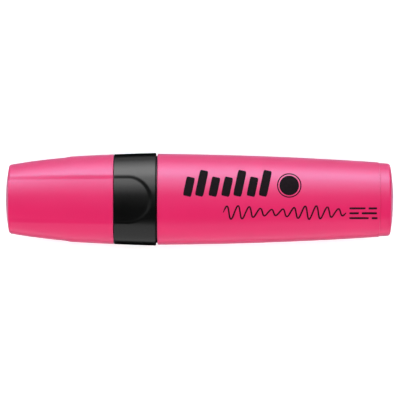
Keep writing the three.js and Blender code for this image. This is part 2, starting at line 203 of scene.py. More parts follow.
def half_width(x):
    if x <= MOUTH + HAIRLINE:
        ramp = 1.3  # the ledge climbs over this much on each side of its middle
        tip = bowed(x, 0, LEDGE, CAP_TIP_HALF_WIDTHS)
        rear = bowed(x, LEDGE, MOUTH, CAP_REAR_HALF_WIDTHS)
        share = smooth((x - LEDGE + ramp) / (2 * ramp))
        return tip * (1 - share) + rear * share
    if x <= TAIL_SEAM:
        return bowed(x, BARREL_FRONT, TAIL_SEAM, BARREL_HALF_WIDTHS)
    return bowed(x, TAIL_SEAM, LENGTH, PLUG_HALF_WIDTHS)


def half_thickness(x):
    if x <= MOUTH + HAIRLINE:
        return bowed(x, 0, MOUTH, CAP_HALF_THICKNESSES)
    fall = max(0.0, (x - CROWN_END) / (TAIL_SEAM - CROWN_END))
    step = PLUG_STEP if x > TAIL_SEAM else 0.0
    return THICKNESS / 2 - TAIL_DROP * fall * fall - step


def oval_height(a, b, y):
    """Half the height, at y, of the body's oval section with these halves."""
    return b * max(0.0, 1 - (abs(y) / a) ** BODY_POWER) ** (1 / BODY_POWER)


def height(x, y, wall=0.0):
    """How far the skin, or the inside of a wall under it, is above the pen's axis."""
    return oval_height(half_width(x) - wall, half_thickness(x) - wall, y)


class Station(NamedTuple):
    """One section of a lofted body; a and b are its half-width and half-thickness."""

    x: float
    a: float
    b: float
    power: float = BODY_POWER
    outside: bool = False  # on the skin that a hand meets


def skin(x, inset=0.0):
    return Station(x, half_width(x) - inset, half_thickness(x) - inset)


def disc(x, radius):
    return Station(x, radius, radius, CIRCLE)


def apex(x):
    return Station(x, 0.0, 0.0)


def outside(stations):
    return [station._replace(outside=True) for station in stations]


def stretch(start, end, step, place=skin):
    """Stations from start to end, each made by place(x)."""
    count = max(1, round(abs(end - start) / step))
    return [place(start + (end - start) * k / count) for k in range(count + 1)]


def rim(x, inward, radius, place=skin):
    """A rounded rim, from its flat at x to the side, which is place(x, inset)."""
    steps = 6
    turns = [pi / 2 * k / steps for k in range(steps + 1)]
    return [place(x + inward * radius * (1 - cos(t)), radius * (1 - sin(t))) for t in turns]


def dome(tip, inward, sag, corner):
    """A bulging end, from a gate mark in its middle to where its rounded corner meets the side."""
    edge = skin(tip + inward * (sag + corner))
    bulge = lambda share: tip + inward * sag * share * share
    mark = [(0.35, 0.0), (0.8, 0.0), (1.0, 0.07), (1.25, 0.0)]  # radius share and dip in mm
    stations = [apex(tip + inward * 0.02)]
    for share, dip in mark:
        radius = share * GATE_RADIUS
        stations.append(disc(bulge(radius / edge.b) + inward * (dip + 0.02), radius))
    first, steps = 4, 14  # the first is clear of the gate mark
    for k in range(first, steps):
        share = k / steps
        a, b = (edge.a - corner) * share, (edge.b - corner) * share
        stations.append(Station(bulge(share), a, b))
    side = lambda x, inset: Station(x, edge.a - inset, edge.b - inset)
    return stations + rim(tip + inward * sag, inward, corner, side)


def mixed(x, start, end, first, last, out=0.0):
    """A station whose halves run from first, at x start, to last, at x end, widened by out."""
    t = (x - start) / (end - start)
    return Station(x, *(p + (q - p) * t + out for p, q in zip(first, last)))


# ---- Mesh building -------------------------------------------------------------------------


class Sampling(NamedTuple):
    """How many points a quarter of a section has at the side, the recess's edge and the crown."""

    side: int = 18
    edge: int = 6
    crown: int = 10


PLAIN = Sampling()
ROUND = Sampling(8, 4, 6)
SHELL = Sampling(18, 26, 12)
RING = Sampling(18, 26, 44)
EDGE_BAND = (8.0, 5.5)  # the recess's edge lies within these distances from the middle
BAND_SHARES = (0.93, 0.75)  # of the half-width; a narrow section's band starts and ends there
BESIDE_PARTING = (0.003, 0.006, 0.010, 0.017)  # angles that resolve the parting line's ridge


def quarter_angles(station, sampling):
    """The angles of a quarter's points, from its side, at 0, to its crown, at a right angle."""
    power = station.power / 2
    first, last = (
        acos(min(share, away / station.a) ** power) for away, share in zip(EDGE_BAND, BAND_SHARES)
    )
    angles = [0.0, *BESIDE_PARTING]
    ends = (angles[-1], first, last, pi / 2)
    for start, end, count in zip(ends, ends[1:], sampling):
        angles += [start + (end - start) * k / count for k in range(1, count + 1)]
    return angles


def section(station, sampling, shape):
    """The points of one section, counter-clockwise seen from the tail."""
    quarter = []
    for angle in quarter_angles(station, sampling):
        y = station.a * cos(angle) ** (2 / station.power)
        z = station.b * sin(angle) ** (2 / station.power)
        quarter.append(shape(station.x, y, z) if station.outside else (y, z))
    back = quarter[-2:0:-1]
    return (
        quarter
        + [(-y, z) for y, z in [quarter[-1], *back][1:]]
        + [(-y, -z) for y, z in quarter]
        + [(y, -z) for y, z in back]
    )


def place(x, y, z):
    """A point of the pen, in millimetres from its own origin, as a place in the frame."""
    return Vector((CAP_END + x * MM, y * MM, AXIS_HEIGHT + z * MM))


def unshaped(x, y, z):
    return y, z


def loft(mesh, stations, sampling=PLAIN, shape=unshaped, reshape=None):
    """Adds a closed body through the stations' sections to mesh, a bmesh.

    The stations start and end on the axis or close on themselves. shape changes a quarter's
    points on the outside, and reshape changes any point.
    """
    rings = []
    for station in stations:
        points = section(station, sampling, shape) if station.a else [(0.0, 0.0)]
        whole = [(station.x, y, z) for y, z in points]
        rings.append([mesh.verts.new(place(*(reshape(*p) if reshape else p))) for p in whole])
    if stations[0].a:
        rings.append(rings[0])
    for near, far in zip(rings, rings[1:]):
        for j in range(max(len(near), len(far))):
            k = j + 1
            corners = [near[j % len(near)], near[k % len(near)], far[k % len(far)],
                       far[j % len(far)]]
            mesh.faces.new(dict.fromkeys(corners))
    return mesh


def finish_piece(mesh, name, body, node, finish):
    """Makes the piece from mesh, a bmesh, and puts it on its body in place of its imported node."""
    bmesh.ops.recalc_face_normals(mesh, faces=mesh.faces)
    sharp = radians(40)
    for face in mesh.faces:
        face.smooth = True
    for edge in mesh.edges:
        edge.smooth = edge.calc_face_angle(0.0) < sharp
    data = bpy.data.meshes.new(name)
    mesh.to_mesh(data)
    mesh.free()
    data.materials.append(finish)
    piece = bpy.data.objects.new(name, data)
    bpy.context.scene.collection.objects.link(piece)
    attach(piece, body)
    if node:
        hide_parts(node)
    return piece


def bar(mesh, xs, corners):
    """Adds a closed bar with a four-cornered section; corners(x) gives its (y, z) points."""
    rings = [[mesh.verts.new(place(x, y, z)) for y, z in corners(x)] for x in xs]
    for near, far in zip(rings, rings[1:]):
        for j in range(4):
            k = (j + 1) % 4
            mesh.faces.new((near[j], near[k], far[k], far[j]))
    mesh.faces.new(rings[0])
    mesh.faces.new(reversed(rings[-1]))


# ---- Materials -----------------------------------------------------------------------------


def add_node(tree, kind, inputs=None, **settings):
    """Adds a node with its settings; its inputs are given values, or sockets to link from."""
    node = tree.nodes.new(kind)
    for key, value in settings.items():
        setattr(node, key, value)
    set_inputs(tree, node, inputs or {})
    return node


def set_inputs(tree, node, inputs):
    for key, value in inputs.items():
        if isinstance(value, NodeSocket):
            tree.links.new(value, node.inputs[key])
        else:
            node.inputs[key].default_value = value


def new_material(name):
    made = bpy.data.materials.new(name)
    made.use_nodes = True
    return made, made.node_tree, made.node_tree.nodes["Principled BSDF"]


def lumps(tree, size, detail=2.0, roughness=0.5):
    """A pattern of soft lumps from 0 to 1; size is their length along x, y and z in mm."""
    spot = add_node(tree, "ShaderNodeTexCoord")
    units = add_node(tree, "ShaderNodeMapping", {
        "Vector": spot.outputs["Object"], "Scale": tuple(1 / (length * MM) for length in size),
    })
    return add_node(tree, "ShaderNodeTexNoise", {
        "Vector": units.outputs["Vector"], "Scale": 1.0, "Detail": detail,
        "Roughness": roughness,
    }).outputs["Fac"]


def mottled(tree, pattern, first, second):
    """The colour between first and second that the pattern gives."""
    share = add_node(tree, "ShaderNodeMapRange", {
        "Value": pattern, "From Min": 0.25, "From Max": 0.75,
    }, interpolation_type="SMOOTHSTEP")
    return add_node(tree, "ShaderNodeMix", {
        0: share.outputs["Result"], 6: (*first, 1.0), 7: (*second, 1.0),
    }, data_type="RGBA").outputs[2]


def scaled(rgb, factor):
    return tuple(min(1.0, channel * factor) for channel in rgb)


def worn(tree, shader, pattern, low, high, height_mm):
    """Gives the surface a roughness from low to high and a relief, both from one pattern."""
    rough = add_node(tree, "ShaderNodeMapRange", {
        "Value": pattern, "From Min": 0.3, "From Max": 0.7, "To Min": low, "To Max": high,
    })
    bump = add_node(tree, "ShaderNodeBump", {
        "Height": pattern, "Distance": height_mm * MM, "Strength": 1.0,
    })
    set_inputs(tree, shader, {
        "Roughness": rough.outputs["Result"], "Normal": bump.outputs["Normal"],
    })


def moulded_plastic(name, rgb, satin, scuff, shader_inputs):
    """Injection-moulded polypropylene, pigmented right through, from a finely blasted mould.

    The eye gets a smooth satin sheen that the mould's grain breaks a little, slow waves where
    the wall shrank, and faint scuffs from handling. satin is the lowest and highest roughness,
    and scuff is how much rougher a scuff is. All pieces of one colour share the material.
    """
    if name in bpy.data.materials:
        return bpy.data.materials[name]
    made, tree, shader = new_material(name)
    flow = lumps(tree, (26.0, 9.0, 9.0))
    handling = add_node(tree, "ShaderNodeMapRange", {
        "Value": lumps(tree, (9.0, 6.0, 6.0), 3.0), "From Min": 0.3, "From Max": 0.7,
        "To Min": satin[0], "To Max": satin[1],
    })
    scuffs = add_node(tree, "ShaderNodeMapRange", {
        "Value": lumps(tree, (9.0, 0.25, 0.25), 3.0, 0.6), "From Min": 0.6, "From Max": 0.9,
        "To Min": 0.0, "To Max": scuff,
    })
    rough = add_node(tree, "ShaderNodeMath", {
        0: handling.outputs["Result"], 1: scuffs.outputs["Result"],
    }, operation="ADD")
    waves = add_node(tree, "ShaderNodeBump", {
        "Height": lumps(tree, (11.0, 8.0, 8.0), 0.0), "Distance": 0.02 * MM, "Strength": 1.0,
    })
    # The mould's real grain is about 0.03 mm across; it is drawn coarser, so that it shows.
    grain = add_node(tree, "ShaderNodeBump", {
        "Height": lumps(tree, (0.45, 0.45, 0.45)), "Distance": 0.0014 * MM, "Strength": 1.0,
        "Normal": waves.outputs["Normal"],
    })
    set_inputs(tree, shader, {
        "Base Color": mottled(tree, flow, scaled(rgb, 0.98), scaled(rgb, 1.02)),
        "Roughness": rough.outputs[0],
        "Normal": grain.outputs["Normal"],
        **shader_inputs,
    })
    return made


def pink_plastic():
    """The pink compound. Its red is nearly as bright as white's, so its sheen looks bluish."""
    rgb = bpy.context.scene.highlighter_colours.pink
    return moulded_plastic("polypropylene_moulded_pink", rgb, (0.285, 0.315), 0.05, {
        "IOR": 1.49, "Specular IOR Level": 0.8, "Specular Tint": (0.04, 0.72, 1.0, 1.0),
        "Sheen Weight": 0.45, "Sheen Roughness": 0.42, "Sheen Tint": (0.45, 0.8, 1.0, 1.0),
    })


def black_plastic():
    """The black compound, from a smoother mould, so its highlights are narrower."""
    rgb = bpy.context.scene.highlighter_colours.black
    return moulded_plastic("polypropylene_moulded_black", rgb, (0.215, 0.245), 0.02, {
        "IOR": 1.49, "Specular IOR Level": 0.42,
    })


def natural_polythene(rgb):
    """Unpigmented low-density polythene, injection-moulded: milky, with light in its walls."""
    made, tree, shader = new_material("polythene_moulded_natural")
    cloud = lumps(tree, (5.0, 5.0, 5.0), 3.0)
    set_inputs(tree, shader, {
        "Base Color": mottled(tree, cloud, scaled(rgb, 0.95), rgb),
        "IOR": 1.51,
        "Subsurface Weight": 0.35,
        "Subsurface Radius": (1.6, 1.6, 1.4),
        "Subsurface Scale": MM,
    })
    worn(tree, shader, lumps(tree, (0.5, 0.5, 0.5)), 0.42, 0.52, 0.004)
    return made


def inked_fibre(name, fibre_mm, dark, pale):
    """Polyester fibres that run along x, soaked with ink: matt and streaked lengthways."""
    made, tree, shader = new_material(name)
    strands = lumps(tree, (14 * fibre_mm, fibre_mm, fibre_mm), 3.0, 0.6)
    set_inputs(tree, shader, {
        "Base Color": mottled(tree, strands, dark, pale),
        "IOR": 1.5,
        "Sheen Weight": 0.25,
        "Sheen Roughness": 0.5,
    })
    worn(tree, shader, strands, 0.78, 0.95, 0.09)
    return made


def clear_film(rgb):
    """Clear polypropylene film, cast and wrapped: glossy, see-through and faintly stained."""
    made, tree, shader = new_material("polypropylene_film_cast")
    creases = lumps(tree, (18.0, 2.5, 2.5))
    set_inputs(tree, shader, {
        "Base Color": mottled(tree, creases, rgb, scaled(rgb, 1.05)),
        "IOR": 1.49,
        "Transmission Weight": 0.8,
    })
    worn(tree, shader, creases, 0.12, 0.22, 0.05)
    return made


def pad_print_ink(rgb):
    """Pad-printing ink: a thin satin film, a little uneven where the pad lifted."""
    made, tree, shader = new_material("pad_print_ink_satin")
    patches = lumps(tree, (0.7, 0.7, 0.7), 3.0, 0.6)
    set_inputs(tree, shader, {
        "Base Color": mottled(tree, patches, rgb, scaled(rgb, 1.6)),
        "IOR": 1.5,
        "Specular IOR Level": 0.04,
    })
    worn(tree, shader, patches, 0.6, 0.75, 0.003)
    return made


def paper_sweep(rgb):
    """A matt coated paper sweep, lit from behind so that it stays pale right up to the pen."""
    made, tree, shader = new_material("paper_sweep_matt_coated")
    tooth = lumps(tree, (1.2, 1.2, 1.2), 3.0)
    set_inputs(tree, shader, {
        "Base Color": mottled(tree, tooth, scaled(rgb, 0.985), rgb),
        "Roughness": 0.9,
        "Specular IOR Level": 0.1,
        "Emission Color": (1.0, 1.0, 1.0, 1.0),
        "Emission Strength": 0.45,
    })
    return made


# ---- The cap -------------------------------------------------------------------------------


def recess_share(x, y, edge):
    """0 outside the thumb recess and 1 on its floor, with a soft edge."""
    tip, ring = RECESS_HALF_WIDTHS
    if x > RECESS_ROUND_CENTRE:
        inside = ring - hypot(x - RECESS_ROUND_CENTRE, y)
    else:
        inside = tip + (ring - tip) * x / RECESS_ROUND_CENTRE - abs(y)
    return smooth(inside / edge + 0.5)


def parted(x, y, z, ridge):
    """A point of the skin with the mould's parting line, a low ridge along the side."""
    away = 1 - exp(-((z / 0.1) ** 2))
    return y * (1 - ridge / half_width(x) * away), z


def body_skin(sizes):
    return lambda x, y, z: parted(x, y, z, sizes.parting_height)


def cap_skin(sizes, edge):
    """The skin of the cap, with its thumb recess, which runs out through the closed end."""
    end = END_SAG + END_CORNER

    def shape(x, y, z):
        sunk = sizes.recess_depth * recess_share(x, y, edge)
        z = z - sunk if x > end else min(z, height(end, y) - sunk)
        return parted(x, y, z, sizes.parting_height)

    return shape


class HIGHLIGHTER_OT_cap_shell(Operator):
    """Build the pink cap shell with its thumb recess, closed end and inner webs"""

    bl_idname = "highlighter.cap_shell"
    bl_label = "Cap Shell"

    def execute(self, context):
        sizes = context.scene.highlighter_sizes
        radius = sizes.rim_radius
        edge = END_SAG + END_CORNER
        cove = 6.0  # from here the inside rounds in towards the closed end
        web_y = 9.0
        mesh = bmesh.new()
        loft(mesh, [
            *outside(dome(0.0, 1, END_SAG, END_CORNER)),
            *outside(stretch(edge + 0.3, SHELL_RIM - radius - 0.2, 0.55)),
            *outside(reversed(rim(SHELL_RIM, -1, radius))),
            *stretch(SHELL_RIM, cove + 1, 1.5, lambda x: skin(x, CAP_WALL)),
            *stretch(cove, CAP_END_WALL + 0.3, 0.5,
                     lambda x: skin(x, CAP_WALL + 2 * smooth((cove - x) / 4) ** 2)),
            apex(CAP_END_WALL),
        ], SHELL, cap_skin(sizes, sizes.shell_recess_edge))
        for y in (-web_y, web_y):
            self.add_web(mesh, y)
        finish_piece(mesh, "cap_shell_moulding", "cap", "cap_shell", pink_plastic())
        return {"FINISHED"}

    @staticmethod
    def add_web(mesh, y):
        """A web across the inside, which stops short of the inner cap's flange."""
        front, half = 6.0, 0.4
        flange_back = CUP_MOUTH - CUP_FLANGE

        def corners(x):
            top = height(x, y, CAP_WALL) + SUNK
            return [(y - half, -top), (y + half, -top), (y + half, top), (y - half, top)]

        xs = [s.x for s in stretch(front, flange_back - 2 * FIT, 1.5)]
        bar(mesh, xs, corners)


class HIGHLIGHTER_OT_cap_ring(Operator):
    """Build the black collar at the cap's mouth, with its bore, snap groove and spigot"""

    bl_idname = "highlighter.cap_ring"
    bl_label = "Cap Ring"

    def execute(self, context):
        sizes = context.scene.highlighter_sizes
        radius = sizes.rim_radius

        def bore(x, out=0.0):
            return mixed(x, RING_START, MOUTH, *BORE_HALVES, out)

        def spigot(x, inset=0.0):
            return skin(x, CAP_WALL + FIT + inset)

        def groove(x):
            return bore(x, GROOVE_DEPTH * smooth(1.6 - abs(x - BEAD_X) / 0.6))

        wall = 1.1
        throat = RING_START + 2.6  # from the spigot's hollow the inside widens to the bore here
        hollow = spigot(RING_START, wall)
        mesh = bmesh.new()
        loft(mesh, [
            *outside(rim(RING_START, 1, radius / 2)),
            *outside(stretch(RING_START + radius, RECESS_ROUND_CENTRE, 0.5)),
            *outside(stretch(RECESS_ROUND_CENTRE + 0.15, MOUTH - radius - 0.05, 0.15)),
            *outside(reversed(rim(MOUTH, -1, radius))),
            *(bore(s.x, s.a) for s in rim(MOUTH, -1, radius, lambda x, i: Station(x, i, i))),
            *stretch(MOUTH - 0.8, BEAD_X + 1.2, 0.8, bore),
            *stretch(BEAD_X + 1.0, BEAD_X - 1.0, 0.12, groove),
            *stretch(BEAD_X - 1.2, throat, 0.9, bore),
            *stretch(throat - 0.4, RING_START + 0.2, 0.4, lambda x: mixed(
                x, RING_START, throat, (hollow.a, hollow.b), (bore(throat).a, bore(throat).b))),
            *stretch(RING_START, SPIGOT_FRONT, 1.2, lambda x: spigot(x, wall)),
            *rim(SPIGOT_FRONT, 1, 0.25, spigot),
            *stretch(SPIGOT_FRONT + 0.4, RING_START, 1.2, spigot),
        ], RING, cap_skin(sizes, sizes.ring_recess_edge))
        finish_piece(mesh, "cap_ring_collar", "cap", "cap_ring", black_plastic())
        return {"FINISHED"}


class HIGHLIGHTER_OT_inner_cap(Operator):
    """Build the sealing cup that hangs in the cap by an oval flange"""

    bl_idname = "highlighter.inner_cap"
    bl_label = "Inner Cap"

    def execute(self, context):
        flange_back = CUP_MOUTH - CUP_FLANGE
        flange = lambda x, inset=0.0: skin(x, CAP_WALL + 0.2 + inset)
        bore = 5.65  # it goes round the seal ring on the nib holder
        end_wall = 1.0
        inside_end = CUP_FRONT + end_wall
        taper = lambda x: disc(x, 5.5 + 1.05 * smooth((x - 10) / 12))
        mesh = bmesh.new()
        loft(mesh, [
            apex(CUP_FRONT),
            disc(CUP_FRONT, 3.9),
            *rim(CUP_FRONT, 1, 0.6, lambda x, i: disc(x, 4.95 - i)),
            disc(CUP_FRONT + 1.4, 5.1),
            *stretch(10.0, flange_back - 0.5, 1.2, taper),
            disc(flange_back - 0.15, 6.62),
            disc(flange_back, 6.8),
            *rim(flange_back, 1, 0.2, flange),
            *reversed(rim(CUP_MOUTH, -1, 0.2, flange)),
            disc(CUP_MOUTH, bore + 0.55),
            *(disc(s.x, bore + s.a) for s in rim(
                CUP_MOUTH, -1, 0.5, lambda x, i: Station(x, i, i))),
            *stretch(CUP_MOUTH - 1.2, 22.0, 1.2, lambda x: disc(x, bore)),
            disc(20.5, 5.4),
            *stretch(19.0, inside_end + 0.8, 1.5, lambda x: disc(
                x, 4.35 + 0.97 * smooth((x - inside_end - 0.8) / 10.8))),
            disc(inside_end + 0.3, 4.1),
            disc(inside_end, 3.6),
            apex(inside_end),
        ], ROUND)
        finish_piece(
            mesh, "inner_cap_seal_cup", "cap", "inner_cap",
            natural_polythene(context.scene.highlighter_colours.natural),
        )
        return {"FINISHED"}


# ---- The marker ----------------------------------------------------------------------------


class HIGHLIGHTER_OT_barrel(Operator):
    """Build the barrel with the ribs that hold the reservoir"""

    bl_idname = "highlighter.barrel"
    bl_label = "Barrel"

    def execute(self, context):
        sizes = context.scene.highlighter_sizes
        radius = sizes.rim_radius
        rear = TAIL_SEAM - TAIL_GAP / 2
        inner = lambda x: skin(x, BARREL_WALL)
        mesh = bmesh.new()
        loft(mesh, [
            *outside(rim(BARREL_FRONT, 1, radius)),
            *outside(stretch(BARREL_FRONT + radius + 0.3, rear - 0.4, 1.2)),
            *outside(reversed(rim(rear, -1, 0.04))),
            *stretch(rear, BARREL_FRONT, 3.0, inner),
        ], PLAIN, body_skin(sizes))
        self.add_ribs(mesh)
        finish_piece(mesh, "barrel_moulding", "marker", "barrel", pink_plastic())
        return {"FINISHED"}

    @staticmethod
    def add_ribs(mesh):
        """Six ribs along the inside: one at each side and two on each broad face."""
        front, rear, half = 58.0, 103.0, 0.5
        room = [half_axis + 0.7 for half_axis in RESERVOIR_HALVES]  # left inside the ribs
        xs = [s.x for s in stretch(front, rear, 3.0)]

        def side_rib(side):
            def corners(x):
                outer = half_width(x) - BARREL_WALL + SUNK
                return [(side * room[0], -half), (side * outer, -half),
                        (side * outer, half), (side * room[0], half)]
            return corners

        def face_rib(side, y):
            top = oval_height(*room, y)

            def corners(x):
                wall = height(x, y, BARREL_WALL) + SUNK
                return [(y - half, side * top), (y + half, side * top),
                        (y + half, side * wall), (y - half, side * wall)]
            return corners

        for side in (-1, 1):
            bar(mesh, xs, side_rib(side))
            for y in (-5.0, 5.0):
                bar(mesh, xs, face_rib(side, y))


class HIGHLIGHTER_OT_end_plug(Operator):
    """Build the plug that closes the tail"""

    bl_idname = "highlighter.end_plug"
    bl_label = "End Plug"

    def execute(self, context):
        sizes = context.scene.highlighter_sizes
        head = TAIL_SEAM + TAIL_GAP / 2
        wall, head_wall = 1.2, 1.6

        def spigot(x, inset=0.0):
            return skin(min(x, TAIL_SEAM), BARREL_WALL + FIT + inset)._replace(x=x)

        shoulder = lambda x, inset: skin(x + 0.01, inset)
        mesh = bmesh.new()
        loft(mesh, [
            apex(head + head_wall),
            spigot(head + head_wall, wall + 1.4),
            spigot(head + head_wall - 0.25, wall + 0.7),
            spigot(head + head_wall - 0.8, wall + 0.2),
            *stretch(head, PLUG_FRONT + 0.2, 2.0, lambda x: spigot(x, wall)),
            spigot(PLUG_FRONT, wall - 0.15),
            *rim(PLUG_FRONT, 1, 0.35, spigot),
            *stretch(PLUG_FRONT + 0.5, head, 2.0, spigot),
            *outside(rim(head, 1, 0.04, shoulder)),
            *outside(stretch(head + 0.4, LENGTH - TAIL_SAG - TAIL_CORNER - 0.2, 0.5)),
            *outside(reversed(dome(LENGTH, -1, TAIL_SAG, TAIL_CORNER))),
        ], PLAIN, body_skin(sizes))
        finish_piece(mesh, "end_plug_moulding", "marker", "end_plug", pink_plastic())
        return {"FINISHED"}


class HIGHLIGHTER_OT_front_section(Operator):
    """Build the black nib holder: neck, snap bead, cone, seal land and nozzle"""

    bl_idname = "highlighter.front_section"
    bl_label = "Front Section"

    def execute(self, context):
        flange_back = BARREL_FRONT - FIT / 2
        flange_front = flange_back - 0.3
        seat = (NIB_HALF_WIDTH + FIT, NIB_HALF_HEIGHT + FIT)
        pocket = (10.85, 5.95)
        pocket_front = 41.0

        def neck(x, out=0.0):
            draft = 0.02 * (BARREL_FRONT - x)
            bead = BEAD_HEIGHT * smooth(1.4 - abs(x - BEAD_X) / 0.6)
            return Station(x, *(half - draft + bead + out for half in NECK_HALVES))

        def land(x):
            ring_x, ring_height, ring_width = 26.0, 0.08, 0.35
            return disc(x, SEAL_RADIUS + ring_height * exp(-(((x - ring_x) / ring_width) ** 2)))

        def in_barrel(x, inset=0.0):
            return skin(x, BARREL_WALL + FIT + inset)

        def slot(x, out=0.0):
            return Station(x, seat[0] + out, seat[1] + out, BAR_POWER)

        flange = lambda x, i: Station(x, 13.5 - i, 8.0 - i)
        nozzle = lambda x, i: Station(x, 3.9 - i, 3.0 - i, CIRCLE)
        cone = [  # x, half-width, half-thickness and power
            (30.0, 5.5, 5.5, 2.0),
            (31.2, 6.0, 5.5, 2.05),
            (33.5, 7.6, 5.55, 2.2),
            (36.0, 9.8, 5.75, 2.3),
            (37.6, 11.15, 5.95, 2.3),
        ]
        mesh = bmesh.new()
        loft(mesh, [
            *stretch(34.0, SECTION_FRONT + 0.4, 1.5, slot),
            slot(SECTION_FRONT + 0.1, 0.1),
            slot(SECTION_FRONT, 0.25),
            *rim(SECTION_FRONT, 1, 0.4, nozzle),
            Station(20.5, 4.55, 4.1, CIRCLE),
            disc(22.3, 4.9),
            disc(22.8, 5.2),
            *stretch(23.1, 29.8, 0.25, land),
            *(Station(*numbers) for numbers in cone),
            Station(NECK_FRONT, 11.7, 6.2),
            *rim(NECK_FRONT + 0.2, 1, 0.5, lambda x, i: neck(x, -i)),
            *stretch(NECK_FRONT + 0.9, flange_front, 0.22, neck),
            *rim(flange_front, 1, 0.1, flange),
            *reversed(rim(flange_back, -1, 0.1, flange)),
            *stretch(flange_back + FIT / 2 + 0.01, SECTION_REAR - 0.4, 1.5, in_barrel),
            *reversed(rim(SECTION_REAR, -1, 0.3, in_barrel)),
            Station(SECTION_REAR, pocket[0] + 0.1, pocket[1] + 0.1),
            *stretch(SECTION_REAR - 0.2, pocket_front, 2.0, lambda x: Station(x, *pocket)),
            Station(pocket_front, 6.4, 4.2),
            Station(37.0, 5.2, 3.7, 2.6),
            Station(34.0, 4.4, 3.4, 3.0),
        ], PLAIN, reshape=self.vent)
        finish_piece(
            mesh, "front_section_nib_holder", "marker", "front_section",
            black_plastic(),
        )
        return {"FINISHED"}

    @staticmethod
    def vent(x, y, z):
        """Opens the top of the nib's slot into an air groove."""
        in_slot = x < 34.5 and 0 < z < NIB_HALF_HEIGHT + 0.6 and abs(y) < NIB_HALF_WIDTH
        if in_slot and z > NIB_HALF_HEIGHT:
            z += 0.8 * smooth((0.75 - abs(y)) / 0.25)
        return x, y, z


class HIGHLIGHTER_OT_nib(Operator):
    """Build the chisel nib of bonded fibre"""

    bl_idname = "highlighter.nib"
    bl_label = "Nib"

    def execute(self, context):
        rise, bevel, edge = 3.2, 4.0, 0.75
        corner = 0.35

        def chisel(x, y, z):
            """Slants the front across the nib and thins it towards the slanted edge."""
            front = NIB_TIP + rise * (y + NIB_HALF_WIDTH) / (2 * NIB_HALF_WIDTH)
            share = (x - NIB_TIP) / (NIB_REAR - NIB_TIP)
            slanted = front + (NIB_REAR - front) * share
            middle = NIB_TIP + rise / 2
            limit = edge + (NIB_HALF_HEIGHT - edge) * (slanted - middle) / bevel
            limit = min(NIB_HALF_HEIGHT, max(edge, limit))
            return slanted, y, z * limit / NIB_HALF_HEIGHT

        side = lambda x, i=0.0: Station(
            x, NIB_HALF_WIDTH - i, NIB_HALF_HEIGHT - i, BAR_POWER)
        mesh = bmesh.new()
        loft(mesh, [
            apex(NIB_TIP + 0.02),
            side(NIB_TIP, 1.3),
            side(NIB_TIP, corner + 0.1),
            *rim(NIB_TIP, 1, corner, side),
            *stretch(NIB_TIP + 0.6, NIB_TIP + 10, 0.4, side),
            *stretch(NIB_TIP + 12, NIB_REAR - corner, 3.0, side),
            *reversed(rim(NIB_REAR, -1, corner, side)),
            side(NIB_REAR, 1.3),
            apex(NIB_REAR),
        ], ROUND, reshape=chisel)
        ink = context.scene.highlighter_colours.ink
        finish_piece(
            mesh, "chisel_nib", "marker", "nib",
            inked_fibre("polyester_fibre_bonded_inked", 0.16, scaled(ink, 0.72),
                        scaled(ink, 1.15)),
        )
        return {"FINISHED"}


class HIGHLIGHTER_OT_ink_supply(Operator):
    """Build the fibre reservoir, with the socket for the nib, and the film round it"""

    bl_idname = "highlighter.ink_supply"
    bl_label = "Ink Supply"

    def execute(self, context):
        ink = context.scene.highlighter_colours.ink
        halves = RESERVOIR_HALVES
        side = lambda x, i=0.0: Station(x, halves[0] - i, halves[1] - i)
        socket = lambda x, i=0.0: Station(
            x, NIB_HALF_WIDTH + FIT + i, NIB_HALF_HEIGHT + FIT + i, BAR_POWER)
        socket_end = NIB_REAR + FIT
        mesh = bmesh.new()
        loft(mesh, [
            apex(socket_end),
            socket(socket_end, -0.4),
            *stretch(socket_end, RESERVOIR_FRONT + 0.3, 1.0, socket),
            socket(RESERVOIR_FRONT, 0.2),
            *rim(RESERVOIR_FRONT, 1, 0.4, side),
            *stretch(RESERVOIR_FRONT + 1, RESERVOIR_REAR - 1, 3.0, side),
            *reversed(rim(RESERVOIR_REAR, -1, 0.4, side)),
            side(RESERVOIR_REAR, 2.5),
            apex(RESERVOIR_REAR),
        ])
        finish_piece(
            mesh, "ink_reservoir_bundle", "marker", "ink_reservoir",
            inked_fibre("polyester_fibre_drawn_inked", 0.3, scaled(ink, 0.8),
                        linear("#f2a6bd")),
        )
        film = lambda x, out: Station(x, halves[0] + out, halves[1] + out)
        gap, gauge = 0.12, 0.28
        front, rear = (along("reservoir_film", side) for side in (0, 1))
        mesh = bmesh.new()
        loft(mesh, [
            *stretch(front, rear, 3.0, lambda x: film(x, gap + gauge)),
            *stretch(rear, front, 3.0, lambda x: film(x, gap)),
        ])
        finish_piece(
            mesh, "reservoir_film_wrap", "marker", "reservoir_film",
            clear_film(linear("#f7d3de")),
        )
        return {"FINISHED"}


# ---- The print on the barrel ---------------------------------------------------------------


def ink_patch(mesh, rows, lift):
    """A thin closed film of ink on the upper face; rows hold its grid of (x, y) points."""
    sunk = 0.01

    def layer(rise):
        return [[mesh.verts.new(place(x, y, height(x, y) + rise)) for x, y in row]
                for row in rows]

    top, under = layer(lift), layer(-sunk)
    last_row, last = len(rows) - 1, len(rows[0]) - 1
    for i in range(last_row):
        for j in range(last):
            for sheet in (top, under):
                mesh.faces.new((sheet[i][j], sheet[i + 1][j], sheet[i + 1][j + 1],
                                sheet[i][j + 1]))
    around = (
        [(0, j) for j in range(last)]
        + [(i, last) for i in range(last_row)]
        + [(last_row, j) for j in range(last, 0, -1)]
        + [(i, 0) for i in range(last_row, 0, -1)]
    )
    for here, there in zip(around, around[1:] + around[:1]):
        (i, j), (k, m) = here, there
        mesh.faces.new((top[i][j], top[k][m], under[k][m], under[i][j]))


